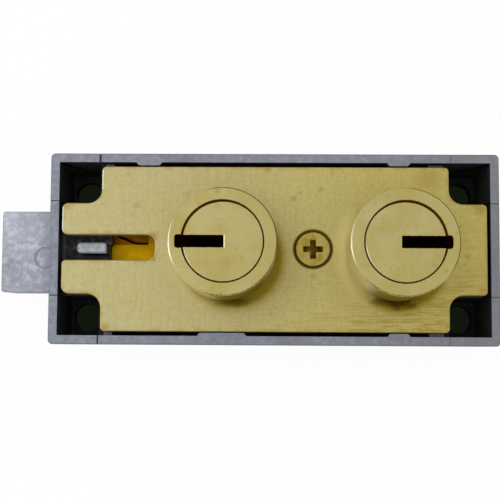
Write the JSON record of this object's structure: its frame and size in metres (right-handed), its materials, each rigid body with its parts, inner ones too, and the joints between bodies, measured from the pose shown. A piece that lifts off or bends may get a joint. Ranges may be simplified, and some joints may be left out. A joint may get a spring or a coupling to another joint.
{
  "type": "safe deposit box lock",
  "caption": "Double-nose lever lock in an open-backed cast case with a brass cover, two brass key noses and a sliding bolt at one end.",
  "frame": {"origin": "centre of the case's flat back face", "axes": "+X along the case, away from the bolt; +Y across the case; +Z out of the noses"},
  "size_m": [0.1207, 0.0462, 0.0316],
  "materials": {
    "zinc_case": "matte die-cast zinc",
    "zinc_bolt": "matte die-cast zinc",
    "brass_plate": "brushed, lightly tarnished",
    "brass_turned": "fine turned",
    "brass_screw": "satin",
    "brass_lever": "blanked, satin",
    "steel": "plain",
    "spring_steel": "blued"
  },
  "bodies": {
    "case": {"case": "zinc_case", "cover_plate": "brass_plate", "cover_screw": "brass_screw", "guard_nose": "brass_turned", "guard_lever_post": "steel", "renter_nose": "brass_turned", "renter_lever_post": "steel"},
    "bolt": {"bolt": "zinc_bolt", "guard_fence": "steel", "renter_fence": "steel"},
    "guard_plug": {"guard_plug": "brass_turned"},
    "renter_plug": {"renter_plug": "brass_turned", "driver_pin": "steel"},
    "guard_lever_1": {"guard_lever_1": "brass_lever", "guard_lever_spring_1": "spring_steel"},
    "guard_lever_2": {"guard_lever_2": "brass_lever", "guard_lever_spring_2": "spring_steel"},
    "guard_lever_3": {"guard_lever_3": "brass_lever", "guard_lever_spring_3": "spring_steel"},
    "renter_lever_1": {"renter_lever_1": "brass_lever", "renter_lever_spring_1": "spring_steel"},
    "renter_lever_2": {"renter_lever_2": "brass_lever", "renter_lever_spring_2": "spring_steel"},
    "renter_lever_3": {"renter_lever_3": "brass_lever", "renter_lever_spring_3": "spring_steel"},
    "renter_lever_4": {"renter_lever_4": "brass_lever", "renter_lever_spring_4": "spring_steel"},
    "renter_lever_5": {"renter_lever_5": "brass_lever", "renter_lever_spring_5": "spring_steel"}
  },
  "joints": [
    {"name": "bolt_slide", "type": "slide", "parent": "case", "child": "bolt", "axis": [1, 0, 0], "range_m": [0, 0.0127]},
    {"name": "guard_plug_turn", "type": "hinge", "parent": "case", "child": "guard_plug", "pos_m": [-0.0118, 0, 0.0315], "axis": [0, 0, 1], "range_deg": [-90, 0]},
    {"name": "renter_plug_turn", "type": "hinge", "parent": "case", "child": "renter_plug", "pos_m": [0.0295, 0, 0.0315], "axis": [0, 0, 1], "range_deg": [0, 90]},
    {"name": "guard_lever_1_lift", "type": "hinge", "parent": "case", "child": "guard_lever_1", "pos_m": [-0.0005, 0, 0.00579], "axis": [0, 0, 1], "range_deg": [-6, 0], "deforming": ["guard_lever_spring_1"]},
    {"name": "guard_lever_2_lift", "type": "hinge", "parent": "case", "child": "guard_lever_2", "pos_m": [-0.0005, 0, 0.00709], "axis": [0, 0, 1], "range_deg": [-5.25, 0], "deforming": ["guard_lever_spring_2"]},
    {"name": "guard_lever_3_lift", "type": "hinge", "parent": "case", "child": "guard_lever_3", "pos_m": [-0.0005, 0, 0.00839], "axis": [0, 0, 1], "range_deg": [-4.5, 0], "deforming": ["guard_lever_spring_3"]},
    {"name": "renter_lever_1_lift", "type": "hinge", "parent": "case", "child": "renter_lever_1", "pos_m": [0.0182, 0, 0.00319], "axis": [0, 0, 1], "range_deg": [0, 7.5], "deforming": ["renter_lever_spring_1"]},
    {"name": "renter_lever_2_lift", "type": "hinge", "parent": "case", "child": "renter_lever_2", "pos_m": [0.0182, 0, 0.00449], "axis": [0, 0, 1], "range_deg": [0, 6.75], "deforming": ["renter_lever_spring_2"]},
    {"name": "renter_lever_3_lift", "type": "hinge", "parent": "case", "child": "renter_lever_3", "pos_m": [0.0182, 0, 0.00579], "axis": [0, 0, 1], "range_deg": [0, 6], "deforming": ["renter_lever_spring_3"]},
    {"name": "renter_lever_4_lift", "type": "hinge", "parent": "case", "child": "renter_lever_4", "pos_m": [0.0182, 0, 0.00709], "axis": [0, 0, 1], "range_deg": [0, 5.25], "deforming": ["renter_lever_spring_4"]},
    {"name": "renter_lever_5_lift", "type": "hinge", "parent": "case", "child": "renter_lever_5", "pos_m": [0.0182, 0, 0.00839], "axis": [0, 0, 1], "range_deg": [0, 4.5], "deforming": ["renter_lever_spring_5"]}
  ],
  "couplings": [
    {"joint": "renter_plug_turn", "follows": "bolt_slide", "rad_per_m": 123.68},
    {"joint": "guard_lever_1_lift", "follows": "bolt_slide", "rad_per_m": -8.2456},
    {"joint": "guard_lever_2_lift", "follows": "bolt_slide", "rad_per_m": -7.2149},
    {"joint": "guard_lever_3_lift", "follows": "bolt_slide", "rad_per_m": -6.1842},
    {"joint": "renter_lever_1_lift", "follows": "bolt_slide", "rad_per_m": 10.307},
    {"joint": "renter_lever_2_lift", "follows": "bolt_slide", "rad_per_m": 9.2763},
    {"joint": "renter_lever_3_lift", "follows": "bolt_slide", "rad_per_m": 8.2456},
    {"joint": "renter_lever_4_lift", "follows": "bolt_slide", "rad_per_m": 7.2149},
    {"joint": "renter_lever_5_lift", "follows": "bolt_slide", "rad_per_m": 6.1842}
  ]
}
